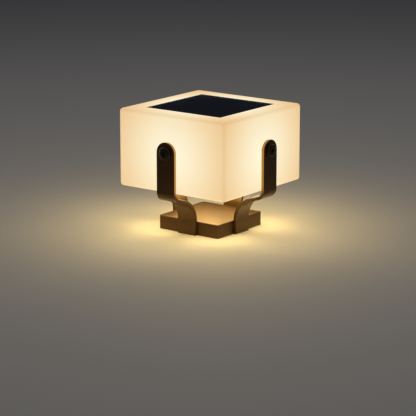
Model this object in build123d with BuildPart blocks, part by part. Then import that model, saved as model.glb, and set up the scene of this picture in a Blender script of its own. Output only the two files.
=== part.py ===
"""Solar pillar light: a square opal shade carried by four bent strap arms on a low square base.

Millimetres, +Z up, origin at the bottom centre of the base. The front is -Y.
The base is a hollow cover screwed to a plate that is anchored to the pillar.
The arms are screwed to the cover from inside and hold the shade on stand-off spacers.
The shade holds a solar panel in its top and a lamp insert that goes in through its underside.
"""

import os
from math import cos, radians, sin, sqrt

from build123d import *

os.makedirs("parts", exist_ok=True)

# Shade
shade_side = 200.0
shade_height = 120.0
shade_wall = 4.0
shade_edge = 5.0
shade_corner = 6.5
air_gap = 49.0

# Base cover and mounting plate
base_side = 112.0
base_height = 21.5
base_wall = 3.0
base_edge = 1.0
plate_thickness = 3.0
plate_clearance = 0.5
plate_corner = 3.0
anchor_spacing = 70.0
anchor_diameter = 6.6
tab_width = 14.0
tab_spacing = 74.0
tab_headroom = 1.5

# Strap arms
arm_width = 33.5
arm_thickness = 5.0
arm_edge = 0.6
arm_slope = 15.0
lower_bend = 35.0
upper_bend = 10.0
stand_off = 7.5
arm_screw_spacing = 18.0

# Shade fixings
shade_screw_rise = 64.0
shade_screw_diameter = 8.0
shade_head_diameter = 20.0
shade_head_height = 4.0
shade_head_round = 3.0
shade_socket_flats = 5.0
shade_socket_depth = 2.2
spacer_diameter = 11.0
seal_diameter = 11.5
seal_thickness = 1.0
washer_diameter = 20.0
washer_thickness = 1.6
nut_flats = 13.0
nut_height = 6.5
screw_overrun = 1.5

# Small screws
m4_diameter = 4.0
m4_head_diameter = 7.6
m4_head_height = 2.2
m3_diameter = 3.0
m3_head_diameter = 5.6
m3_head_height = 2.0
thread_grip = 6.0
arm_thread_depth = 3.5

# Solar panel
panel_side = 140.0
panel_clearance = 0.4
panel_border = 7.0
glass_thickness = 3.2
glass_edge = 0.4
film_thickness = 0.1
backing_thickness = 1.6
cell_thickness = 0.4
cell_columns = 2
cell_rows = 6
cell_spacing = 1.5
panel_gasket_thickness = 1.0
ledge_width = 8.0
ledge_thickness = 3.0
junction_length = 24.0
junction_width = 16.0
junction_height = 5.0

# Bottom plate
bottom_thickness = 4.0
bottom_gasket_thickness = 1.5
bottom_overlap = 15.0
bottom_corner = 6.0
insert_clearance = 8.0
boss_diameter = 10.0

# Lamp column and its lights
column_side = 44.0
column_wall = 2.5
port_diameter = 7.0
led_board_width = 20.0
led_board_margin = 5.0
board_thickness = 1.6
leds_per_side = 6
led_side = 3.5
led_height = 0.8
led_end_margin = 6.0
lens_diameter = 28.0
lens_flange_width = 3.0
lens_flange_thickness = 2.0
lens_drop = 1.5
downlight_throw = 10.0
downlight_diameter = 14.0
downlight_height = 1.5
downlight_board_diameter = 30.0
plug_height = 8.0
plug_clearance = 0.1

# Battery and control tray
tray_wall = 2.0
tray_floor = 2.5
tray_gap = 2.0
lug_diameter = 8.0
lug_spacing = 50.0
lid_thickness = 2.0
lid_headroom = 3.0
battery_diameter = 18.4
battery_length = 65.2
battery_spacing = 1.6
battery_top_clearance = 1.0
nub_diameter = 6.0
nub_height = 1.0
contact_thickness = 0.8
contact_stud_diameter = 7.0
contact_stud_height = 1.2
contact_side = 13.0
cradle_thickness = 3.0
cradle_spacing = 44.0
cradle_clearance = 0.2
control_width = 38.0
control_margin = 3.0
post_diameter = 5.0
post_height = 4.0
connector_length = 10.0
connector_width = 7.0
connector_height = 6.0
coil_diameter = 9.0
coil_height = 5.0
chip_length = 6.0
chip_width = 5.0
chip_height = 1.2
chip_spacing = 14.0
capacitor_diameter = 6.0
capacitor_height = 9.0

# Leads and switch
lead_diameter = 3.4
lead_clearance = 0.5
lead_inset = 3.5
switch_barrel_diameter = 12.0
switch_barrel_length = 15.0
switch_flange_diameter = 18.0
switch_flange_thickness = 2.0
switch_nut_flats = 16.0
switch_nut_height = 3.0
button_diameter = 7.4
button_proud = 3.0
button_travel = 1.8
button_collar_width = 0.9
button_collar_height = 2.0
button_fit = 0.06
button_rest_gap = 0.05
shoulder_height = 3.0

# Shared fits
bolt_clearance = 0.25
thread_clearance = 0.05

# Heights and reaches that the pieces share
base_half = base_side / 2
shade_half = shade_side / 2
shade_bottom = base_height + air_gap
shade_top = shade_bottom + shade_height
shade_screw_z = shade_bottom + shade_screw_rise
base_screw_z = base_height / 2
cover_inner_half = base_half - base_wall
plate_half = cover_inner_half - plate_clearance
arm_foot = base_half + arm_thickness / 2
arm_inner = shade_half + stand_off
arm_head = arm_inner + arm_thickness / 2
arm_outer = arm_inner + arm_thickness

BOTTOM = (Align.CENTER, Align.CENTER, Align.MIN)
TOP = (Align.CENTER, Align.CENTER, Align.MAX)
RIGHT, BACK, LEFT, FRONT = range(4)
ALL_SIDES = (RIGHT, BACK, LEFT, FRONT)
REAR_SIDES = (BACK, LEFT)


def save(part, name):
    """Label a finished piece and write its file."""
    part.label = name
    export_step(part, f"parts/{name}.step")


def on_sides(reach, height, shifts=(0.0,), sides=ALL_SIDES):
    """Locations on the given sides of the axis, each with its local Z pointing outward."""
    return [
        Location((0, 0, height), (0, 0, 90 * side)) * Location((reach, shift, 0), (0, 90, 0))
        for side in sides
        for shift in shifts
    ]


def pan_screw(diameter, head_diameter, head_height, length):
    """A pan-head screw along Z, with its head's seat at zero and its shank below."""
    with BuildPart() as screw:
        Cylinder(head_diameter / 2, head_height, align=BOTTOM)
        fillet(screw.edges().group_by(Axis.Z)[-1], head_height / 2)
        Cylinder(diameter / 2, length, align=TOP)
    return screw.part


def tube(inner_diameter, outer_diameter, length):
    """A plain tube along Z, standing on zero."""
    with BuildPart() as ring:
        Cylinder(outer_diameter / 2, length, align=BOTTOM)
        Cylinder(inner_diameter / 2, length, align=BOTTOM, mode=Mode.SUBTRACT)
    return ring.part


def hex_nut(flats, bore_diameter, height):
    """A hexagon nut along Z, standing on zero."""
    with BuildPart() as nut:
        with BuildSketch():
            RegularPolygon(flats / 2, 6, major_radius=False)
            Circle(bore_diameter / 2, mode=Mode.SUBTRACT)
        extrude(amount=height)
    return nut.part


# Mounting plate: a flat plate with four anchor holes and two bent-up tabs on each rear side
tab_shifts = (-tab_spacing / 2, tab_spacing / 2)
tab_height = base_height - base_wall - tab_headroom
m4_thread = m4_diameter + 2 * thread_clearance
m4_hole = m4_diameter + 2 * bolt_clearance

with BuildPart() as mounting_plate:
    with BuildSketch():
        RectangleRounded(2 * plate_half, 2 * plate_half, plate_corner)
        with GridLocations(anchor_spacing, anchor_spacing, 2, 2):
            Circle(anchor_diameter / 2, mode=Mode.SUBTRACT)
    extrude(amount=plate_thickness)
    with Locations(*on_sides(plate_half, 0, tab_shifts, REAR_SIDES)):
        Box(tab_height, tab_width, plate_thickness, align=(Align.MAX, Align.CENTER, Align.MAX))
    with Locations(*on_sides(plate_half, base_screw_z, tab_shifts, REAR_SIDES)):
        Hole(m4_thread / 2, plate_thickness)
save(mounting_plate.part, "mounting_plate")

# Base cover: a square hollow casting, open below
arm_screw_shifts = (-arm_screw_spacing / 2, arm_screw_spacing / 2)

with BuildPart() as base_cover:
    Box(base_side, base_side, base_height, align=BOTTOM)
    fillet(base_cover.edges().filter_by(Axis.Z), base_edge)
    fillet(base_cover.edges().group_by(Axis.Z)[-1], base_edge)
    cover_hollow_side = 2 * cover_inner_half
    Box(cover_hollow_side, cover_hollow_side, base_height - base_wall, align=BOTTOM, mode=Mode.SUBTRACT)
    with Locations(*on_sides(base_half, base_screw_z, arm_screw_shifts)):
        Hole(m4_hole / 2, base_wall)
    with Locations(*on_sides(base_half, base_screw_z, tab_shifts, REAR_SIDES)):
        Hole(m4_hole / 2, base_wall)
save(base_cover.part, "base_cover")

# Cover screws: from the two rear sides into the plate's tabs
cover_screw = pan_screw(
    m4_diameter, m4_head_diameter, m4_head_height, base_wall + plate_clearance + plate_thickness
)
with BuildPart() as cover_screws:
    with Locations(*on_sides(base_half, base_screw_z, tab_shifts, REAR_SIDES)):
        add(cover_screw)
save(cover_screws.part, "cover_screws")

# Arms: flat strap bent outward over the base, then upright beside the shade, with a round top
arm_turn = 90 - arm_slope
lower_radius = lower_bend + arm_thickness / 2
upper_radius = upper_bend + arm_thickness / 2
bend_reach = (lower_radius + upper_radius) * (1 - sin(radians(arm_slope)))
run_length = (arm_head - arm_foot - bend_reach) / cos(radians(arm_slope))
shade_screw_hole = shade_screw_diameter + 2 * bolt_clearance

with BuildPart() as arm:
    with BuildLine(Plane.XZ) as arm_path:
        foot = Line((arm_foot, 0), (arm_foot, base_height))
        lower = JernArc(foot @ 1, foot % 1, lower_radius, -arm_turn)
        run = PolarLine(lower @ 1, run_length, direction=lower % 1)
        upper = JernArc(run @ 1, run % 1, upper_radius, arm_turn)
        Line(upper @ 1, (arm_head, shade_screw_z + arm_width / 2))
    with BuildSketch(Plane.XY) as arm_section:
        with Locations((arm_foot, 0)):
            Rectangle(arm_thickness, arm_width)
    sweep()
    with BuildSketch(Plane.YZ) as arm_front:
        Rectangle(arm_width, shade_screw_z, align=(Align.CENTER, Align.MIN))
        with Locations((0, shade_screw_z)):
            Circle(arm_width / 2)
    extrude(amount=arm_outer, mode=Mode.INTERSECT)
    long_edges = arm.edges().filter_by(Axis.Y, reverse=True).filter_by(Axis.X, reverse=True)
    fillet(long_edges, arm_edge)
    with Locations(*on_sides(arm_outer, shade_screw_z, sides=(RIGHT,))):
        Hole(shade_screw_hole / 2, arm_thickness)
    with Locations(*on_sides(base_half, base_screw_z, arm_screw_shifts, (RIGHT,))):
        Cylinder(m4_thread / 2, arm_thread_depth, align=BOTTOM, mode=Mode.SUBTRACT)

for side, side_name in enumerate(("right", "back", "left", "front")):
    save(arm.part.rotate(Axis.Z, 90 * side), f"arm_{side_name}")

# Arm screws: two for each arm, with their heads inside the base cover
arm_screw = pan_screw(m4_diameter, m4_head_diameter, m4_head_height, base_wall + arm_thread_depth)
with BuildPart() as arm_screws:
    with Locations(*on_sides(cover_inner_half, base_screw_z, arm_screw_shifts)):
        add(arm_screw, rotation=(180, 0, 0))
save(arm_screws.part, "arm_screws")

# Shade: a hollow moulding with a well for the panel in its top and an opening in its underside
panel_stack = glass_thickness + film_thickness + backing_thickness
well_side = panel_side + 2 * panel_clearance
well_depth = panel_stack + panel_gasket_thickness
well_opening = well_side - 2 * ledge_width
tray_inner_length = battery_length + 2 * (nub_height + contact_stud_height + contact_thickness)
tray_inner_width = 3 * tray_gap + 2 * battery_diameter + battery_spacing + control_width
tray_length = tray_inner_length + 2 * tray_wall
tray_width = tray_inner_width + 2 * tray_wall
lug_reach = tray_length / 2 + lug_diameter / 4
insert_side = max(2 * lug_reach + lug_diameter, tray_width)
bottom_opening = insert_side + 2 * insert_clearance
bottom_side = bottom_opening + 2 * bottom_overlap
bottom_screw_spacing = bottom_opening + bottom_overlap
boss_height = thread_grip + thread_clearance
pilot_depth = shade_wall + thread_grip
shade_hollow_side = shade_side - 2 * shade_wall

with BuildPart() as shade:
    with Locations((0, 0, shade_bottom)):
        Box(shade_side, shade_side, shade_height, align=BOTTOM)
    fillet(shade.edges().filter_by(Axis.Z), shade_corner)
    shade_levels = shade.edges().group_by(Axis.Z)
    fillet(shade_levels[0] + shade_levels[-1], shade_edge)
    with Locations((0, 0, shade_bottom + shade_wall)):
        hollow_height = shade_height - 2 * shade_wall
        Box(shade_hollow_side, shade_hollow_side, hollow_height, align=BOTTOM, mode=Mode.SUBTRACT)
    with Locations((0, 0, shade_top)):
        well_outside = well_side + 2 * shade_wall
        Box(well_outside, well_outside, well_depth + ledge_thickness, align=TOP)
        Box(well_side, well_side, well_depth, align=TOP, mode=Mode.SUBTRACT)
        Box(well_opening, well_opening, well_depth + ledge_thickness, align=TOP, mode=Mode.SUBTRACT)
    with BuildSketch(Plane.XY.offset(shade_bottom)):
        RectangleRounded(bottom_opening, bottom_opening, bottom_corner)
    extrude(amount=shade_wall, mode=Mode.SUBTRACT)
    with BuildSketch(Plane.XY.offset(shade_bottom + shade_wall)):
        with GridLocations(bottom_screw_spacing, bottom_screw_spacing, 2, 2):
            Circle(boss_diameter / 2)
    extrude(amount=boss_height)
    with BuildSketch(Plane.XY.offset(shade_bottom)):
        with GridLocations(bottom_screw_spacing, bottom_screw_spacing, 2, 2):
            Circle(m4_thread / 2)
    extrude(amount=pilot_depth, mode=Mode.SUBTRACT)
    with Locations(*on_sides(shade_half, shade_screw_z)):
        Hole(shade_screw_hole / 2, shade_wall)
save(shade.part, "shade")

# Shade screws: round-edged heads with a hexagon socket on the arms' outer faces
screw_reach = arm_outer - shade_half + shade_wall + washer_thickness + nut_height + screw_overrun

with BuildPart() as shade_screw:
    Cylinder(shade_head_diameter / 2, shade_head_height, align=BOTTOM)
    fillet(shade_screw.edges().group_by(Axis.Z)[-1], shade_head_round)
    with BuildSketch(Plane.XY.offset(shade_head_height)):
        RegularPolygon(shade_socket_flats / 2, 6, major_radius=False)
    extrude(amount=-shade_socket_depth, mode=Mode.SUBTRACT)
    Cylinder(shade_screw_diameter / 2, screw_reach, align=TOP)

with BuildPart() as shade_screws:
    with Locations(*on_sides(arm_outer, shade_screw_z)):
        add(shade_screw.part)
save(shade_screws.part, "shade_screws")

# Spacers and rubber seals between the arms and the shade, washers and nuts inside it
spacer = tube(shade_screw_hole, spacer_diameter, stand_off - seal_thickness)
seal = tube(shade_screw_hole, seal_diameter, seal_thickness)
washer = tube(shade_screw_hole, washer_diameter, washer_thickness)
nut = hex_nut(nut_flats, shade_screw_diameter + 2 * thread_clearance, nut_height)
washer_reach = shade_half - shade_wall - washer_thickness

with BuildPart() as spacers:
    with Locations(*on_sides(shade_half + seal_thickness, shade_screw_z)):
        add(spacer)
save(spacers.part, "spacers")

with BuildPart() as shade_seals:
    with Locations(*on_sides(shade_half, shade_screw_z)):
        add(seal)
save(shade_seals.part, "shade_seals")

with BuildPart() as shade_washers:
    with Locations(*on_sides(washer_reach, shade_screw_z)):
        add(washer)
save(shade_washers.part, "shade_washers")

with BuildPart() as shade_nuts:
    with Locations(*on_sides(washer_reach - nut_height, shade_screw_z)):
        add(nut)
save(shade_nuts.part, "shade_nuts")

# Solar panel: cover glass, a clear film's gap, cells in a backing sheet, and the gasket on the ledge
glass_bottom = shade_top - glass_thickness
cell_top = glass_bottom - film_thickness
panel_bottom = shade_top - panel_stack
cell_field = panel_side - 2 * panel_border
cell_length = (cell_field - (cell_columns - 1) * cell_spacing) / cell_columns
cell_width = (cell_field - (cell_rows - 1) * cell_spacing) / cell_rows
cell_pitch = (cell_length + cell_spacing, cell_width + cell_spacing)

with BuildPart() as panel_glass:
    with Locations((0, 0, glass_bottom)):
        Box(panel_side, panel_side, glass_thickness, align=BOTTOM)
    chamfer(panel_glass.edges().group_by(Axis.Z)[-1], glass_edge)
save(panel_glass.part, "panel_glass")

with BuildPart() as solar_cells:
    with BuildSketch(Plane.XY.offset(cell_top)) as cell_grid:
        with GridLocations(*cell_pitch, cell_columns, cell_rows):
            Rectangle(cell_length, cell_width)
    extrude(amount=-cell_thickness)
save(solar_cells.part, "solar_cells")

with BuildPart() as panel_backing:
    with Locations((0, 0, panel_bottom)):
        Box(panel_side, panel_side, backing_thickness, align=BOTTOM)
    add(cell_grid.sketch)
    extrude(amount=-cell_thickness, mode=Mode.SUBTRACT)
save(panel_backing.part, "panel_backing")

with BuildPart() as panel_gasket:
    with BuildSketch(Plane.XY.offset(panel_bottom)):
        Rectangle(panel_side, panel_side)
        Rectangle(well_opening, well_opening, mode=Mode.SUBTRACT)
    extrude(amount=-panel_gasket_thickness)
save(panel_gasket.part, "panel_gasket")

# Heights inside the shade: the tray hangs close under the panel, on a column from the bottom plate
bottom_plate_top = shade_bottom - bottom_gasket_thickness
bottom_plate_bottom = bottom_plate_top - bottom_thickness
junction_bottom = panel_bottom - junction_height
lid_bottom = junction_bottom - lid_headroom - lid_thickness
battery_underside = m3_head_height + cradle_clearance
tray_height = tray_floor + battery_underside + battery_diameter + battery_top_clearance
tray_bottom = lid_bottom - tray_height
tray_floor_top = tray_bottom + tray_floor
battery_z = tray_floor_top + battery_underside + battery_diameter / 2
control_bottom = tray_floor_top + post_height
control_top = control_bottom + board_thickness
column_height = tray_bottom - bottom_plate_top

# Places across the tray: two cells at the front, the control board behind them
first_battery_y = -tray_inner_width / 2 + tray_gap + battery_diameter / 2
battery_rows = (first_battery_y, first_battery_y + battery_diameter + battery_spacing)
control_length = tray_inner_length - 2 * control_margin
control_y = tray_inner_width / 2 - tray_gap - control_width / 2
control_front = control_y - control_width / 2
control_rear = control_y + control_width / 2
switch_y = control_rear - lead_inset
lead_hole = lead_diameter + 2 * lead_clearance

# Downlight heights
lens_top = bottom_plate_top + lens_flange_thickness
downlight_bottom = lens_top + downlight_throw
downlight_board_bottom = downlight_bottom + downlight_height
plug_bottom = downlight_board_bottom + board_thickness
plug_top = plug_bottom + plug_height

# Column: a square aluminium tube with a screw port in each corner
column_half = column_side / 2
column_bore = column_side - 2 * column_wall
port_spacing = column_bore - port_diameter / sqrt(2)
downlight_lead_y = (control_front + column_bore / 2) / 2
m3_thread = m3_diameter + 2 * thread_clearance
m3_hole = m3_diameter + 2 * bolt_clearance

with BuildPart() as lamp_column:
    with BuildSketch(Plane.XY.offset(bottom_plate_top)):
        Rectangle(column_side, column_side)
        Rectangle(column_bore, column_bore, mode=Mode.SUBTRACT)
        with GridLocations(port_spacing, port_spacing, 2, 2):
            Circle(port_diameter / 2)
            Circle(m3_thread / 2, mode=Mode.SUBTRACT)
    extrude(amount=column_height)
save(lamp_column.part, "lamp_column")

# Column screws: up through the bottom plate and down through the tray's floor
lower_column_screw = pan_screw(m3_diameter, m3_head_diameter, m3_head_height, bottom_thickness + thread_grip)
upper_column_screw = pan_screw(m3_diameter, m3_head_diameter, m3_head_height, tray_floor + thread_grip)
with BuildPart() as column_screws:
    with Locations((0, 0, bottom_plate_bottom)):
        with GridLocations(port_spacing, port_spacing, 2, 2):
            add(lower_column_screw, rotation=(180, 0, 0))
    with Locations((0, 0, tray_floor_top)):
        with GridLocations(port_spacing, port_spacing, 2, 2):
            add(upper_column_screw)
save(column_screws.part, "column_screws")

# Bottom plate: an opal plate with the downlight lens at its centre and the switch behind it
switch_hole = switch_barrel_diameter + 2 * bolt_clearance

with BuildPart() as bottom_plate:
    with BuildSketch(Plane.XY.offset(bottom_plate_bottom)):
        RectangleRounded(bottom_side, bottom_side, bottom_corner)
        Circle(lens_diameter / 2 + bolt_clearance, mode=Mode.SUBTRACT)
        with GridLocations(port_spacing, port_spacing, 2, 2):
            Circle(m3_hole / 2, mode=Mode.SUBTRACT)
        with GridLocations(bottom_screw_spacing, bottom_screw_spacing, 2, 2):
            Circle(m4_hole / 2, mode=Mode.SUBTRACT)
        with Locations((0, switch_y)):
            Circle(switch_hole / 2, mode=Mode.SUBTRACT)
    extrude(amount=bottom_thickness)
save(bottom_plate.part, "bottom_plate")

with BuildPart() as bottom_gasket:
    with BuildSketch(Plane.XY.offset(bottom_plate_top)):
        RectangleRounded(bottom_side, bottom_side, bottom_corner)
        RectangleRounded(bottom_opening, bottom_opening, bottom_corner, mode=Mode.SUBTRACT)
        with GridLocations(bottom_screw_spacing, bottom_screw_spacing, 2, 2):
            Circle(m4_hole / 2, mode=Mode.SUBTRACT)
    extrude(amount=bottom_gasket_thickness)
save(bottom_gasket.part, "bottom_gasket")

bottom_screw = pan_screw(
    m4_diameter,
    m4_head_diameter,
    m4_head_height,
    bottom_thickness + bottom_gasket_thickness + pilot_depth - thread_clearance,
)
with BuildPart() as bottom_screws:
    with Locations((0, 0, bottom_plate_bottom)):
        with GridLocations(bottom_screw_spacing, bottom_screw_spacing, 2, 2):
            add(bottom_screw, rotation=(180, 0, 0))
save(bottom_screws.part, "bottom_screws")

# Side lights: a board on each face of the column with a row of lights up its middle
led_board_length = column_height - 2 * led_board_margin
led_board_z = bottom_plate_top + column_height / 2
led_pitch = (led_board_length - 2 * led_end_margin) / (leds_per_side - 1)

with BuildPart() as led_boards:
    with Locations(*on_sides(column_half, led_board_z)):
        Box(led_board_length, led_board_width, board_thickness, align=BOTTOM)
save(led_boards.part, "led_boards")

with BuildPart() as side_leds:
    with Locations(*on_sides(column_half + board_thickness, led_board_z)):
        with GridLocations(led_pitch, led_side, leds_per_side, 1):
            Box(led_side, led_side, led_height, align=BOTTOM)
save(side_leds.part, "side_leds")

# Downlight: a heat sink inside the column carries a board and light above a lens in the plate
with BuildPart() as heat_sink:
    with BuildSketch(Plane.XY.offset(plug_bottom)):
        plug_side = column_bore - 2 * plug_clearance
        port_notch = column_bore - port_spacing + port_diameter + 2 * plug_clearance
        Rectangle(plug_side, plug_side)
        with GridLocations(column_bore, column_bore, 2, 2):
            Rectangle(port_notch, port_notch, mode=Mode.SUBTRACT)
    extrude(amount=plug_height)
save(heat_sink.part, "heat_sink")

with BuildPart() as downlight_board:
    with Locations((0, 0, downlight_board_bottom)):
        Cylinder(downlight_board_diameter / 2, board_thickness, align=BOTTOM)
save(downlight_board.part, "downlight_board")

with BuildPart() as downlight_led:
    with Locations((0, 0, downlight_bottom)):
        Cylinder(downlight_diameter / 2, downlight_height, align=BOTTOM)
save(downlight_led.part, "downlight_led")

with BuildPart() as downlight_lens:
    with Locations((0, 0, bottom_plate_top)):
        Cylinder(lens_diameter / 2 + lens_flange_width, lens_flange_thickness, align=BOTTOM)
        Cylinder(lens_diameter / 2, bottom_thickness + lens_drop, align=TOP)
    fillet(downlight_lens.edges().group_by(Axis.Z)[0], lens_drop)
save(downlight_lens.part, "downlight_lens")

# Tray: holds the battery cells in cradles and the control board on posts
with BuildPart() as battery_tray:
    with BuildSketch(Plane.XY.offset(tray_bottom)) as tray_outline:
        Rectangle(tray_length, tray_width)
        with GridLocations(2 * lug_reach, lug_spacing, 2, 2):
            Circle(lug_diameter / 2)
    extrude(amount=tray_height)
    with Locations((0, 0, tray_floor_top)):
        Box(tray_inner_length, tray_inner_width, tray_height, align=BOTTOM, mode=Mode.SUBTRACT)
    with Locations((0, sum(battery_rows) / 2, tray_floor_top)):
        with GridLocations(cradle_spacing, 1, 2, 1):
            cradle_width = 2 * battery_diameter + battery_spacing
            Box(cradle_thickness, cradle_width, battery_z - tray_floor_top, align=BOTTOM)
    with Locations(*[(0, row, battery_z) for row in battery_rows]):
        cradle_radius = battery_diameter / 2 + cradle_clearance
        Cylinder(cradle_radius, battery_length, rotation=(0, 90, 0), mode=Mode.SUBTRACT)
    with BuildSketch(Plane.XY.offset(tray_floor_top)):
        with Locations((0, control_y)):
            with GridLocations(control_length - post_diameter, control_width - post_diameter, 2, 2):
                Circle(post_diameter / 2)
    extrude(amount=post_height)
    with BuildSketch(Plane.XY.offset(tray_bottom)):
        with GridLocations(port_spacing, port_spacing, 2, 2):
            Circle(m3_hole / 2)
        with Locations((0, downlight_lead_y), (0, switch_y)):
            Circle(lead_hole / 2)
    extrude(amount=tray_floor, mode=Mode.SUBTRACT)
    with BuildSketch(Plane.XY.offset(lid_bottom)):
        with GridLocations(2 * lug_reach, lug_spacing, 2, 2):
            Circle(m3_thread / 2)
    extrude(amount=-thread_grip, mode=Mode.SUBTRACT)
save(battery_tray.part, "battery_tray")

with BuildPart() as tray_lid:
    with BuildSketch(Plane.XY.offset(lid_bottom)):
        Rectangle(tray_length, tray_width)
        with GridLocations(2 * lug_reach, lug_spacing, 2, 2):
            Circle(lug_diameter / 2)
            Circle(m3_hole / 2, mode=Mode.SUBTRACT)
        with Locations((0, control_y)):
            Circle(lead_hole / 2, mode=Mode.SUBTRACT)
    extrude(amount=lid_thickness)
save(tray_lid.part, "tray_lid")

lid_screw = pan_screw(m3_diameter, m3_head_diameter, m3_head_height, lid_thickness + thread_grip)
with BuildPart() as lid_screws:
    with Locations((0, 0, lid_bottom + lid_thickness)):
        with GridLocations(2 * lug_reach, lug_spacing, 2, 2):
            add(lid_screw)
save(lid_screws.part, "lid_screws")

# Battery: two cells side by side, facing opposite ways, between sprung contact plates
with BuildPart() as battery_cell:
    Cylinder(battery_diameter / 2, battery_length, rotation=(0, 90, 0))
    with Locations((battery_length / 2, 0, 0)):
        Cylinder(nub_diameter / 2, nub_height, rotation=(0, 90, 0), align=BOTTOM)

with BuildPart() as battery_cells:
    for row, turn in zip(battery_rows, (0, 180)):
        with Locations(Location((0, row, battery_z), (0, 0, turn))):
            add(battery_cell.part)
save(battery_cells.part, "battery_cells")

with BuildPart() as battery_contacts:
    for row, turn in zip(battery_rows, (0, 180)):
        for end in (0, 180):
            stud_height = contact_stud_height + (0 if end == 0 else nub_height)
            with Locations(Location((0, row, battery_z), (0, 0, turn + end))):
                with Locations(Location((tray_inner_length / 2, 0, 0), (0, -90, 0))):
                    Box(contact_side, contact_side, contact_thickness, align=BOTTOM)
                    with Locations((0, 0, contact_thickness)):
                        Cylinder(contact_stud_diameter / 2, stud_height, align=BOTTOM)
save(battery_contacts.part, "battery_contacts")

# Control board with its connector, coil, chips and capacitor
with BuildPart() as control_board:
    with Locations((0, control_y, control_bottom)):
        Box(control_length, control_width, board_thickness, align=BOTTOM)
save(control_board.part, "control_board")

with BuildPart() as board_parts:
    with Locations((0, control_y, control_top)):
        Box(connector_length, connector_width, connector_height, align=BOTTOM)
    with Locations((-control_length / 4, control_y, control_top)):
        Cylinder(coil_diameter / 2, coil_height, align=BOTTOM)
    with Locations((control_length / 4, control_y, control_top)):
        with GridLocations(chip_length, chip_spacing, 1, 2):
            Box(chip_length, chip_width, chip_height, align=BOTTOM)
    with Locations((control_length / 2 - capacitor_diameter, control_y, control_top)):
        Cylinder(capacitor_diameter / 2, capacitor_height, align=BOTTOM)
save(board_parts.part, "board_parts")

# Junction box on the panel's back, and the leads to the control board
with BuildPart() as junction_box:
    with Locations((0, control_y, panel_bottom)):
        Box(junction_length, junction_width, junction_height, align=TOP)
save(junction_box.part, "junction_box")

with BuildPart() as panel_lead:
    connector_top = control_top + connector_height
    with Locations((0, control_y, connector_top)):
        Cylinder(lead_diameter / 2, junction_bottom - connector_top, align=BOTTOM)
save(panel_lead.part, "panel_lead")

with BuildPart() as downlight_lead:
    with Locations((0, downlight_lead_y, plug_top)):
        Cylinder(lead_diameter / 2, control_bottom - plug_top, align=BOTTOM)
save(downlight_lead.part, "downlight_lead")

# Push-button switch: a threaded barrel through the bottom plate, its nut, and the button in it
barrel_top = bottom_plate_bottom + switch_barrel_length
flange_bottom = bottom_plate_bottom - switch_flange_thickness
shoulder_top = flange_bottom + shoulder_height
collar_bottom = shoulder_top + button_rest_gap
collar_diameter = button_diameter + 2 * button_collar_width
chamber_height = button_rest_gap + button_collar_height + button_travel + button_rest_gap

with BuildPart() as switch_body:
    with Locations((0, switch_y, bottom_plate_bottom)):
        Cylinder(switch_flange_diameter / 2, switch_flange_thickness, align=TOP)
        Cylinder(switch_barrel_diameter / 2, switch_barrel_length, align=BOTTOM)
    with Locations((0, switch_y, flange_bottom)):
        Cylinder(button_diameter / 2 + button_fit, shoulder_height, align=BOTTOM, mode=Mode.SUBTRACT)
    with Locations((0, switch_y, shoulder_top)):
        Cylinder(collar_diameter / 2 + button_fit, chamber_height, align=BOTTOM, mode=Mode.SUBTRACT)
save(switch_body.part, "switch_body")

switch_nut_part = hex_nut(switch_nut_flats, switch_barrel_diameter + 2 * thread_clearance, switch_nut_height)
with BuildPart() as switch_nut:
    with Locations((0, switch_y, bottom_plate_top)):
        add(switch_nut_part)
save(switch_nut.part, "switch_nut")

with BuildPart() as switch_button:
    with Locations((0, switch_y, flange_bottom - button_proud)):
        stem_length = button_proud + shoulder_height + button_rest_gap
        Cylinder(button_diameter / 2, stem_length, align=BOTTOM)
    fillet(switch_button.edges().group_by(Axis.Z)[0], button_proud / 3)
    with Locations((0, switch_y, collar_bottom)):
        Cylinder(collar_diameter / 2, button_collar_height, align=BOTTOM)
save(switch_button.part, "switch_button")

with BuildPart() as switch_lead:
    with Locations((0, switch_y, barrel_top)):
        Cylinder(lead_diameter / 2, control_bottom - barrel_top, align=BOTTOM)
save(switch_lead.part, "switch_lead")
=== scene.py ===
"""Finishes for a square opal solar light on four strap arms, and a plain stage to see it on."""

from math import radians

import bpy
from bpy.props import FloatProperty, FloatVectorProperty, IntProperty, PointerProperty
from bpy.types import Operator, Panel, PropertyGroup
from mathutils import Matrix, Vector


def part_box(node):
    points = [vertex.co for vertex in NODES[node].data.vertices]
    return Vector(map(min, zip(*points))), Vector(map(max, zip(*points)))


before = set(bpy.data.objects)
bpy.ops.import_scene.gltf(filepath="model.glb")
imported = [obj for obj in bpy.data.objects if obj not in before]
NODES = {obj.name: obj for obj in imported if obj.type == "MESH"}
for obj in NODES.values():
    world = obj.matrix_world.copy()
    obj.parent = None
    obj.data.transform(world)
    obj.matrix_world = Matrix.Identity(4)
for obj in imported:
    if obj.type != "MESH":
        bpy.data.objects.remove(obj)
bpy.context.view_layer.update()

bl_info = {
    "name": "Solar Pillar Light",
    "version": (1, 0, 0),
    "blender": (4, 5, 0),
    "location": "View3D > Sidebar > Pillar Light",
    "description": "Finishes for a square opal solar light on strap arms, and a plain stage",
    "category": "Object",
}

SHADE_LOW, SHADE_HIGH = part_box("shade")
SHADE_HALF = SHADE_HIGH.x
CELLS_LOW, CELLS_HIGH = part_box("solar_cells")
CELL_COLUMNS = 2
LENS_LOW, LENS_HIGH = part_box("downlight_lens")
PLATE_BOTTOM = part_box("bottom_plate")[0].z
BASE_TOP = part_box("base_cover")[1].z
ARMS = ("arm_right", "arm_back", "arm_left", "arm_front")
UP = (0, 0, 1)
DOWN = (0, 0, -1)


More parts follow.
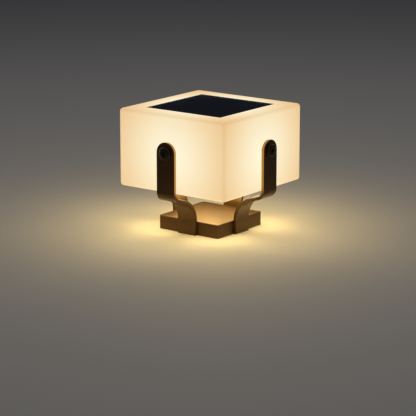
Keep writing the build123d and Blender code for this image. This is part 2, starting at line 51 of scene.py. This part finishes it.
class Finish:
    """A procedural material: a Principled shader and the nodes that feed it."""

    def __init__(self, name, constants):
        self.material = bpy.data.materials.new(name)
        self.material.use_nodes = True
        self.tree = self.material.node_tree
        self.shader = self.tree.nodes["Principled BSDF"]
        self.place = self.node("ShaderNodeTexCoord", {}, {}, "Object")
        self.normal = self.node("ShaderNodeNewGeometry", {}, {}, "Normal")
        self.drive(constants)

    def node(self, kind, settings, inputs, output=0):
        """Add a node with its settings, feed its inputs values or sockets, and return one output."""
        made = self.tree.nodes.new(kind)
        for name, value in settings.items():
            setattr(made, name, value)
        self.feed(made, inputs)
        return Socket(self, made.outputs[output])

    def feed(self, made, inputs):
        """Give a node's inputs their values, or link them to sockets."""
        for name, value in inputs.items():
            if isinstance(value, Socket):
                self.tree.links.new(value.link, made.inputs[name])
            else:
                made.inputs[name].default_value = value

    def drive(self, inputs):
        """Feed the Principled shader."""
        self.feed(self.shader, inputs)

    def vector(self, operation, *values, output="Vector"):
        """A Vector Math node of vectors."""
        inputs = dict(enumerate(values))
        return self.node("ShaderNodeVectorMath", {"operation": operation}, inputs, output)

    def noise(self, per_metre, detail=3.0):
        """Noise from 0 to 1 with so many grains to the metre: one count, or one for each axis."""
        counts = per_metre if isinstance(per_metre, tuple) else (per_metre,) * 3
        scaled = self.vector("MULTIPLY", self.place, counts)
        return self.node("ShaderNodeTexNoise", {}, {"Vector": scaled, "Scale": 1.0, "Detail": detail})

    def tint(self, factor, low, high):
        """A colour between two, each a colour or a socket, by a factor from 0 to 1."""
        low, high = (side if isinstance(side, Socket) else (*side, 1.0) for side in (low, high))
        settings = {"data_type": "RGBA", "clamp_factor": True}
        return self.node("ShaderNodeMix", settings, {0: factor, 6: low, 7: high}, 2)

    def speckle(self, per_metre, low, high, smooth, rough, detail=3.0):
        """Vary the colour and the roughness by one noise, and return that noise."""
        grain = self.noise(per_metre, detail)
        self.drive({"Base Color": self.tint(grain, low, high)})
        self.drive({"Roughness": grain.between(smooth, rough)})
        return grain

    def roundness(self):
        """0 on faces that look along an axis, and up to two thirds on the rounded edges between them."""
        squared = self.vector("MULTIPLY", self.normal, self.normal)
        return 1.0 - self.vector("DOT_PRODUCT", squared, squared, output="Value")

    def facing(self, direction):
        """How far the surface faces a direction, from 0 to 1."""
        turned = self.vector("DOT_PRODUCT", self.normal, direction, output="Value")
        return turned.math("MAXIMUM", turned, 0.0)

    def relief(self, height, depth):
        """Raise the surface by a height from 0 to 1, over a depth in metres."""
        bump = self.node("ShaderNodeBump", {}, {"Height": height, "Distance": depth, "Strength": 1.0})
        self.drive({"Normal": bump})

    def coat(self, *names):
        """Put this finish on CAD nodes."""
        for name in names:
            slots = NODES[name].data.materials
            slots.clear()
            slots.append(self.material)


class Socket:
    """A shader socket in Python expressions, where each operator adds one Math node."""

    def __init__(self, finish, link):
        self.finish = finish
        self.link = link

    def math(self, operation, first, second):
        """A Math node of two values."""
        return self.finish.node("ShaderNodeMath", {"operation": operation}, {0: first, 1: second})

    def between(self, low, high):
        """Spread a value of 0 to 1 from low to high."""
        return low + (high - low) * self

    def __add__(self, other):
        return self.math("ADD", self, other)

    def __radd__(self, other):
        return self.math("ADD", other, self)

    def __sub__(self, other):
        return self.math("SUBTRACT", self, other)

    def __rsub__(self, other):
        return self.math("SUBTRACT", other, self)

    def __mul__(self, other):
        return self.math("MULTIPLY", self, other)

    def __rmul__(self, other):
        return self.math("MULTIPLY", other, self)

    def __truediv__(self, other):
        return self.math("DIVIDE", self, other)

    def __rtruediv__(self, other):
        return self.math("DIVIDE", other, self)

    def __pow__(self, other):
        return self.math("POWER", self, other)


class GlowSettings(PropertyGroup):
    """The light in the opal pieces."""

    colour: FloatVectorProperty(
        name="Glow",
        description="Colour at the middle of each face",
        subtype="COLOR",
        default=(1.0, 0.93, 0.69),
    )
    fade: FloatVectorProperty(
        name="Fade",
        description="How fast red, green and blue fall off with distance",
        default=(0.4, 1.2, 2.2),
    )
    strength: FloatProperty(name="Strength", description="Brightness of the opal pieces", default=0.94)
    height: FloatProperty(
        name="Lamp height", description="Height of the lamp's middle", unit="LENGTH", default=0.130
    )
    edge_shade: FloatProperty(
        name="Edge shade",
        description="How much darker the rounded edges are",
        subtype="FACTOR",
        default=0.13,
    )
    top_shade: FloatProperty(
        name="Top shade",
        description="How much farther the top seems from the lamp",
        subtype="FACTOR",
        default=0.10,
    )
    limit: FloatProperty(
        name="Limit", description="Nearness at which the glow stops growing", default=1.05
    )
    peel: FloatProperty(
        name="Peel", description="Depth of the moulded skin", unit="LENGTH", default=0.00004
    )


class BronzeSettings(PropertyGroup):
    """The dark bronze paint of the arms and base."""

    light: FloatVectorProperty(
        name="Light",
        description="Paint where the grain is light",
        subtype="COLOR",
        default=(0.150, 0.083, 0.029),
    )
    dark: FloatVectorProperty(
        name="Dark",
        description="Paint where the grain is dark",
        subtype="COLOR",
        default=(0.068, 0.035, 0.012),
    )
    # Painted highlight: the colour painted onto the edges that the lamp's glow lights
    highlight_colour: FloatVectorProperty(
        name="Worn",
        description="Bronze where the paint is rubbed thin",
        subtype="COLOR",
        default=(0.26, 0.16, 0.075),
    )
    # How strongly the painted highlight shows on those edges
    edge_highlight: FloatProperty(
        name="Edge wear", description="How thin the edges are rubbed", subtype="FACTOR", default=0.2
    )
    metallic: FloatProperty(
        name="Metallic", description="Metal flake in the paint", subtype="FACTOR", default=0.75
    )
    roughness: FloatProperty(
        name="Roughness", description="Mean roughness", subtype="FACTOR", default=0.38
    )


class PanelSettings(PropertyGroup):
    """The solar panel."""

    silicon: FloatVectorProperty(
        name="Silicon", description="Colour of the cells", subtype="COLOR", default=(0.006, 0.007, 0.016)
    )
    bus_bars: IntProperty(name="Bus bars", description="Silver lines across each cell", default=2)
    bar_width: FloatProperty(
        name="Bar width", description="Width of a silver line", unit="LENGTH", default=0.001
    )


class StageSettings(PropertyGroup):
    """The floor, the lights and the camera."""

    floor: FloatVectorProperty(
        name="Floor", description="Colour of the floor", subtype="COLOR", default=(0.80, 0.78, 0.75)
    )
    room: FloatProperty(name="Room light", description="Strength of the even light", default=0.02)
    room_colour: FloatVectorProperty(
        name="Room colour",
        description="Colour of the even light",
        subtype="COLOR",
        default=(0.62, 0.66, 1.0),
    )
    overhead: FloatProperty(
        name="Overhead", description="Soft light from above", unit="POWER", default=11.0
    )
    side_glow: FloatProperty(
        name="Side glow",
        description="Light that each side of the shade throws",
        unit="POWER",
        default=0.20,
    )
    under_glow: FloatProperty(
        name="Under glow",
        description="Light that the shade's underside throws",
        unit="POWER",
        default=0.38,
    )
    lens_glow: FloatProperty(
        name="Lens glow",
        description="Light that the downlight's lens throws",
        unit="POWER",
        default=0.04,
    )
    warm: FloatVectorProperty(
        name="Lamp colour",
        description="Colour of the lamp's light",
        subtype="COLOR",
        default=(1.0, 0.72, 0.25),
    )
    camera_place: FloatVectorProperty(
        name="Camera",
        description="Where the camera stands",
        subtype="TRANSLATION",
        unit="LENGTH",
        default=(1.6958, -2.2602, 0.7182),
    )
    camera_turn: FloatProperty(
        name="Turn", description="Camera's turn from the front", unit="ROTATION", default=radians(36.96)
    )
    camera_dip: FloatProperty(
        name="Dip", description="How far the camera looks down", unit="ROTATION", default=radians(13.70)
    )
    camera_lens: FloatProperty(name="Lens", description="Focal length in millimetres", default=162.64)


class FinishOperator:
    """What the finishing operators share."""

    bl_options = {"REGISTER", "UNDO"}


class PILLAR_LIGHT_OT_shade(FinishOperator, Operator):
    """Lit opal plastic on the shade and bottom plate, brightest where the lamp is near"""

    bl_idname = "pillar_light.shade"
    bl_label = "Opal shade"

    def execute(self, context):
        glow = context.scene.pillar_light_glow
        unlit = (0.45, 0.42, 0.37, 1.0)
        opal = Finish("lit_opal", {"Base Color": unlit, "Emission Strength": glow.strength})
        lamp = (0.0, 0.0, glow.height)
        away = opal.vector("DISTANCE", opal.place, lamp, output="Value")
        close = SHADE_HALF * (1.0 - glow.top_shade * opal.facing(UP)) / away
        nearness = close.math("MINIMUM", close, glow.limit)
        mottle = opal.noise(60.0)
        level = (1.0 - glow.edge_shade * opal.roundness()) * mottle.between(0.98, 1.02)
        red, green, blue = (
            level * (amount * nearness ** fade) for amount, fade in zip(glow.colour, glow.fade)
        )
        light = opal.node("ShaderNodeCombineColor", {}, {"Red": red, "Green": green, "Blue": blue})
        opal.drive({"Emission Color": light, "Roughness": mottle.between(0.34, 0.44)})
        opal.relief(opal.noise(900.0, detail=2.0), glow.peel)
        opal.coat("shade", "bottom_plate")

        lens = Finish("frosted_lens", {"Base Color": (0.9, 0.86, 0.78, 1.0), "Emission Strength": 3.0})
        frost = lens.noise(2500.0)
        lens.drive({"Emission Color": lens.tint(frost, low=(1.0, 0.72, 0.38), high=(1.0, 0.82, 0.52))})
        lens.drive({"Roughness": frost.between(0.4, 0.7)})
        lens.coat("downlight_lens")
        return {"FINISHED"}


class PILLAR_LIGHT_OT_metalwork(FinishOperator, Operator):
    """Dark bronze paint: fine grain on the arms and fixings, brushed lines round the base"""

    bl_idname = "pillar_light.metalwork"
    bl_label = "Bronze metalwork"

    def execute(self, context):
        settings = context.scene.pillar_light_bronze
        self.paint_straps(settings)
        self.brush_base(settings)
        self.polish_screws()
        return {"FINISHED"}

    def paint_straps(self, settings):
        """Fine-grained paint, with a painted highlight on the straps' cut edges from the base's top
        upwards, where the shade's glow lights them.
        """
        paint = Finish("bronze_paint", {"Metallic": settings.metallic})
        grain = paint.noise(1300.0)
        cloud = paint.noise(45.0)
        sideways = paint.vector("NORMALIZE", paint.vector("CROSS_PRODUCT", UP, paint.place))
        cut_edge = paint.vector("DOT_PRODUCT", paint.normal, sideways, output="Value") ** 2
        height = paint.node("ShaderNodeSeparateXYZ", {}, {"Vector": paint.place}, "Z")
        # Painted highlight reach: none at the base's top, full from the shade's underside up
        reach = {"Value": height, "From Min": BASE_TOP, "From Max": SHADE_LOW.z}
        lit_by_shade = paint.node("ShaderNodeMapRange", {}, reach)
        face = paint.tint(0.5 * grain + 0.5 * cloud, settings.dark, settings.light)
        # Painted highlight on the straps' cut edges, where the shade's glow falls
        painted_highlight = cut_edge * lit_by_shade * grain.between(0.75, 1.25) * settings.edge_highlight
        paint.drive({"Base Color": paint.tint(painted_highlight, face, settings.highlight_colour)})
        paint.drive({"Roughness": grain.between(settings.roughness - 0.06, settings.roughness + 0.06)})
        paint.relief(grain, depth=0.00006)
        paint.coat(*ARMS, "spacers", "cover_screws")

    def brush_base(self, settings):
        """Lines brushed along the base's sides and across its top, with a painted highlight on its top
        edges.
        """
        brushed = Finish("brushed_bronze", {"Metallic": settings.metallic})
        top = brushed.facing(UP)
        along, across = 7.0, 800.0
        side_lines = brushed.noise((along, along, across), detail=4.0)
        top_lines = brushed.noise((along, across, along), detail=4.0)
        lines = top * top_lines + (1.0 - top) * side_lines
        streaks = lines.between(-0.35, 1.35)
        cloud = brushed.noise(35.0)
        face = brushed.tint(0.75 * streaks + 0.25 * cloud, settings.dark, settings.light)
        # Painted highlight on the rounded edges of the base's top, where the lamp lights them
        painted_highlight = brushed.roundness() * top * lines.between(0.7, 1.3) * settings.edge_highlight
        brushed.drive({"Base Color": brushed.tint(painted_highlight, face, settings.highlight_colour)})
        brushed.drive({"Roughness": lines.between(settings.roughness - 0.10, settings.roughness + 0.16)})
        brushed.relief(lines, depth=0.00010)
        brushed.coat("base_cover")

    def polish_screws(self):
        """Smoother bronze on the screw heads."""
        polished = Finish("bronze_screws", {"Metallic": 0.5})
        low, high = (0.022, 0.015, 0.010), (0.045, 0.031, 0.021)
        polished.speckle(700.0, low, high, smooth=0.30, rough=0.48)
        polished.coat("shade_screws")


class PILLAR_LIGHT_OT_panel(FinishOperator, Operator):
    """Dark cells with fine bus bars under low-glare glass, on a black backing"""

    bl_idname = "pillar_light.panel"
    bl_label = "Solar panel"

    def execute(self, context):
        settings = context.scene.pillar_light_panel

        clear = {"Transmission Weight": 1.0, "IOR": 1.45, "Specular IOR Level": 0.1}
        glass = Finish("panel_glass", clear)
        glass.speckle(300.0, (0.86, 0.88, 0.93), (0.94, 0.95, 0.98), smooth=0.06, rough=0.12)
        glass.coat("panel_glass")

        silicon = Finish("silicon_cells", {"Specular IOR Level": 0.3})
        across = silicon.node("ShaderNodeSeparateXYZ", {}, {"Vector": silicon.place}, "X")
        cell_length = (CELLS_HIGH.x - CELLS_LOW.x) / CELL_COLUMNS
        half_pitch = cell_length / settings.bus_bars / 2
        wave = across.math("PINGPONG", across, half_pitch)
        bar = across.math("GREATER_THAN", wave, half_pitch - settings.bar_width / 2)
        shimmer = silicon.noise(180.0)
        deep = tuple(0.6 * part for part in settings.silicon)
        wafer = silicon.tint(shimmer, deep, settings.silicon)
        silver, faintness = (0.30, 0.31, 0.34), 0.25
        silicon.drive({"Base Color": silicon.tint(faintness * bar, wafer, silver)})
        silicon.drive({"Roughness": shimmer.between(0.35, 0.50)})
        silicon.coat("solar_cells")

        backing = Finish("black_backing", {"Specular IOR Level": 0.3})
        backing.speckle(1200.0, (0.004, 0.004, 0.005), (0.010, 0.010, 0.012), smooth=0.5, rough=0.7)
        backing.coat("panel_backing", "junction_box")
        return {"FINISHED"}


class PILLAR_LIGHT_OT_hardware(FinishOperator, Operator):
    """Zinc plate, aluminium and brass on the plain metal pieces"""

    bl_idname = "pillar_light.hardware"
    bl_label = "Plain metal"

    def execute(self, context):
        zinc = Finish("zinc_plate", {"Metallic": 1.0})
        spangle_low, spangle_high = (0.42, 0.43, 0.45), (0.60, 0.61, 0.63)
        zinc.speckle(160.0, spangle_low, spangle_high, smooth=0.30, rough=0.50, detail=2.0)
        zinc.coat("mounting_plate", "shade_washers", "shade_nuts")
        zinc.coat("arm_screws", "bottom_screws", "column_screws", "lid_screws")

        extrusion = Finish("aluminium_extrusion", {"Metallic": 1.0})
        drawn_lines = (1800.0, 1800.0, 20.0)
        extrusion.speckle(drawn_lines, (0.66, 0.66, 0.67), (0.80, 0.80, 0.81), smooth=0.28, rough=0.48)
        extrusion.coat("lamp_column", "heat_sink")

        brass = Finish("brass_contacts", {"Metallic": 1.0})
        brass.speckle(400.0, (0.62, 0.45, 0.18), (0.80, 0.63, 0.32), smooth=0.25, rough=0.45)
        brass.coat("battery_contacts")
        return {"FINISHED"}


class PILLAR_LIGHT_OT_electrics(FinishOperator, Operator):
    """Boards, lights and battery sleeves inside the shade"""

    bl_idname = "pillar_light.electrics"
    bl_label = "Electrics"

    def execute(self, context):
        warm = tuple(context.scene.pillar_light_stage.warm)

        board = Finish("white_boards", {})
        board.speckle(500.0, (0.72, 0.73, 0.71), (0.82, 0.83, 0.81), smooth=0.35, rough=0.50)
        board.coat("led_boards", "downlight_board", "control_board")

        phosphor = Finish("phosphor", {"Base Color": (0.9, 0.7, 0.3, 1.0), "Emission Strength": 4.0})
        dots = phosphor.noise(3000.0)
        phosphor.drive({"Emission Color": phosphor.tint(dots, low=warm, high=(1.0, 0.84, 0.55))})
        phosphor.coat("side_leds", "downlight_led")

        sleeve = Finish("battery_sleeve", {"Coat Weight": 0.4})
        sleeve.speckle(250.0, (0.03, 0.10, 0.28), (0.05, 0.15, 0.36), smooth=0.3, rough=0.45)
        sleeve.coat("battery_cells")
        return {"FINISHED"}


class PILLAR_LIGHT_OT_mouldings(FinishOperator, Operator):
    """White tray, black switch and board parts, and soft black seals and leads"""

    bl_idname = "pillar_light.mouldings"
    bl_label = "Plastic and rubber"

    def execute(self, context):
        white = Finish("white_moulding", {})
        grain = white.speckle(1500.0, (0.74, 0.74, 0.72), (0.82, 0.82, 0.80), smooth=0.42, rough=0.54)
        white.relief(grain, depth=0.00003)
        white.coat("battery_tray", "tray_lid")

        black = Finish("black_moulding", {})
        grain = black.speckle(1800.0, (0.012, 0.012, 0.012), (0.03, 0.03, 0.03), smooth=0.36, rough=0.52)
        black.relief(grain, depth=0.00004)
        black.coat("board_parts", "switch_body", "switch_nut", "switch_button")

        rubber = Finish("soft_rubber", {"Specular IOR Level": 0.35})
        soot_low, soot_high = (0.014, 0.014, 0.014), (0.03, 0.03, 0.03)
        grain = rubber.speckle(1200.0, soot_low, soot_high, smooth=0.65, rough=0.85)
        rubber.relief(grain, depth=0.00005)
        rubber.coat(
            "shade_seals", "panel_gasket", "bottom_gasket", "panel_lead", "downlight_lead", "switch_lead"
        )
        return {"FINISHED"}


class PILLAR_LIGHT_OT_stage(FinishOperator, Operator):
    """A plain pale floor, soft studio light, the lamp's own downlight and the camera"""

    bl_idname = "pillar_light.stage"
    bl_label = "Stage"

    def execute(self, context):
        settings = context.scene.pillar_light_stage
        self.add_floor(context.scene, settings)
        self.add_lights(context.scene, settings)
        self.add_camera(context.scene, settings)
        context.scene.view_settings.view_transform = "Standard"
        return {"FINISHED"}

    def add_floor(self, scene, settings):
        """A large level sheet under the light."""
        reach = 12.0
        turns = ((-1, -1), (1, -1), (1, 1), (-1, 1))
        mesh = bpy.data.meshes.new("floor")
        mesh.from_pydata([(reach * x, reach * y, 0.0) for x, y in turns], [], [(0, 1, 2, 3)])
        floor = bpy.data.objects.new("floor", mesh)
        scene.collection.objects.link(floor)
        matt = Finish("pale_floor", {"Specular IOR Level": 0.2})
        pale = tuple(settings.floor)
        dull = tuple(0.93 * part for part in pale)
        matt.speckle(350.0, dull, pale, smooth=0.75, rough=0.85, detail=4.0)
        mesh.materials.append(matt.material)

    def add_light(self, scene, name, sides, power, place, facing, colour):
        """A soft rectangle of light at a place, facing a direction, that the camera doesn't see."""
        data = bpy.data.lights.new(name, "AREA")
        data.shape = "RECTANGLE"
        data.size, data.size_y = sides
        data.energy = power
        data.color = colour
        light = bpy.data.objects.new(name, data)
        light.location = place
        light.rotation_euler = Vector(facing).to_track_quat("-Z", "Y").to_euler()
        light.visible_camera = False
        scene.collection.objects.link(light)

    def add_lights(self, scene, settings):
        """Even room light, one soft light overhead, and the light that the shade and lens throw."""
        world = bpy.data.worlds.new("room")
        world.use_nodes = True
        background = world.node_tree.nodes["Background"]
        background.inputs["Color"].default_value = (*settings.room_colour, 1.0)
        background.inputs["Strength"].default_value = settings.room
        scene.world = world
        white = (1.0, 0.98, 0.95)
        overhead_sides = (2.0, 2.0)
        ceiling = (0.0, 0.0, 2.5)
        self.add_light(scene, "overhead_light", overhead_sides, settings.overhead, ceiling, DOWN, white)

        warm = settings.warm
        skin = 0.0005
        middle = (SHADE_LOW.z + SHADE_HIGH.z) / 2
        face = (2 * SHADE_HALF, SHADE_HIGH.z - SHADE_LOW.z)
        for side, facing in enumerate(((1, 0, 0), (0, 1, 0), (-1, 0, 0), (0, -1, 0))):
            place = Vector(facing) * (SHADE_HALF + skin) + Vector((0.0, 0.0, middle))
            self.add_light(scene, f"side_glow_{side}", face, settings.side_glow, place, facing, warm)

        underside_length = 1.8 * SHADE_HALF
        underside = (underside_length, underside_length)
        below_plate = (0.0, 0.0, PLATE_BOTTOM - skin)
        self.add_light(scene, "under_glow", underside, settings.under_glow, below_plate, DOWN, warm)

        lens = (LENS_HIGH.x - LENS_LOW.x, LENS_HIGH.y - LENS_LOW.y)
        below_lens = (0.0, 0.0, LENS_LOW.z - skin)
        self.add_light(scene, "lens_glow", lens, settings.lens_glow, below_lens, DOWN, warm)

    def add_camera(self, scene, settings):
        """The camera at the photograph's place."""
        data = bpy.data.cameras.new("camera")
        data.lens = settings.camera_lens
        data.sensor_width = 36.0
        camera = bpy.data.objects.new("camera", data)
        camera.location = settings.camera_place
        camera.rotation_euler = (radians(90.0) - settings.camera_dip, 0.0, settings.camera_turn)
        scene.collection.objects.link(camera)
        scene.camera = camera


SETTINGS = {
    "pillar_light_glow": GlowSettings,
    "pillar_light_bronze": BronzeSettings,
    "pillar_light_panel": PanelSettings,
    "pillar_light_stage": StageSettings,
}
OPERATORS = (
    PILLAR_LIGHT_OT_shade,
    PILLAR_LIGHT_OT_metalwork,
    PILLAR_LIGHT_OT_panel,
    PILLAR_LIGHT_OT_hardware,
    PILLAR_LIGHT_OT_electrics,
    PILLAR_LIGHT_OT_mouldings,
    PILLAR_LIGHT_OT_stage,
)


class PILLAR_LIGHT_PT_sidebar(Panel):
    """Settings and operators of the pillar light"""

    bl_label = "Pillar Light"
    bl_idname = "PILLAR_LIGHT_PT_sidebar"
    bl_space_type = "VIEW_3D"
    bl_region_type = "UI"
    bl_category = "Pillar Light"

    def draw(self, context):
        layout = self.layout
        for name in SETTINGS:
            group = getattr(context.scene, name)
            box = layout.box()
            for setting in group.__annotations__:
                box.prop(group, setting)
        for operator in OPERATORS:
            layout.operator(operator.bl_idname)


CLASSES = (*SETTINGS.values(), *OPERATORS, PILLAR_LIGHT_PT_sidebar)


def register():
    """Register the classes and hang the settings on the scene."""
    for item in CLASSES:
        bpy.utils.register_class(item)
    for name, group in SETTINGS.items():
        setattr(bpy.types.Scene, name, PointerProperty(type=group))


def unregister():
    """Take the settings and classes away again."""
    for name in SETTINGS:
        delattr(bpy.types.Scene, name)
    for item in reversed(CLASSES):
        bpy.utils.unregister_class(item)


def main():
    """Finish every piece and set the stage."""
    register()
    for operator in OPERATORS:
        group, name = operator.bl_idname.split(".")
        getattr(getattr(bpy.ops, group), name)()


if __name__ == "__main__":
    main()
